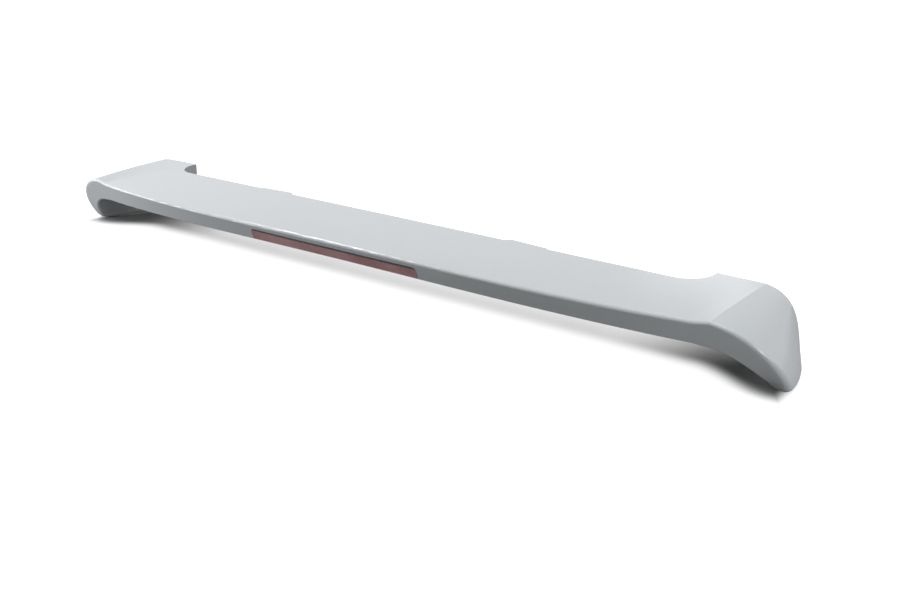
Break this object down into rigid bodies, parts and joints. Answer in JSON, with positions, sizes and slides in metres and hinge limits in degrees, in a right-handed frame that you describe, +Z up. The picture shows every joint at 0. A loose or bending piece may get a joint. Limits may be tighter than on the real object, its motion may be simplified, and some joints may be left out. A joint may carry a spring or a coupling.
{
  "type": "rear roof spoiler with stop lamp",
  "caption": "Hatchback rear roof spoiler: a long crowned blade with arms, down-turned end fins and a high-level stop lamp in its trailing band.",
  "frame": {"origin": "middle of the spoiler's length and depth, on the level of the fins' lower ends", "axes": "+X across the car along the blade, +Y towards the car's front, +Z up"},
  "size_m": [1.276, 0.2164, 0.1049],
  "materials": {
    "primed_plastic": "satin grey primer",
    "red_lens": "clear dark red, glossy",
    "black_plastic": "fine matt",
    "bright_reflector": "metallised",
    "green_board": "solder mask",
    "pale_diode": "gloss",
    "zinc_steel": "zinc plated",
    "brass": "machined",
    "black_rubber": "matt",
    "foam": "closed-cell foam"
  },
  "bodies": {
    "root": {"spoiler_body": "primed_plastic", "lamp_lens": "red_lens", "lamp_housing": "black_plastic", "lamp_gasket": "foam", "lamp_circuit_board": "green_board", "lamp_leds": "pale_diode", "lamp_resistors": "black_plastic", "lamp_reflector": "bright_reflector", "lamp_socket": "black_plastic", "lamp_socket_pins": "brass", "lamp_screws": "zinc_steel", "arm_inserts": "brass", "tab_inserts": "brass", "arm_pad_left": "foam", "arm_pad_right": "foam", "leading_edge_seal": "foam", "cable_grommet": "black_rubber", "blow_hole_plugs": "black_rubber"}
  },
  "joints": []
}
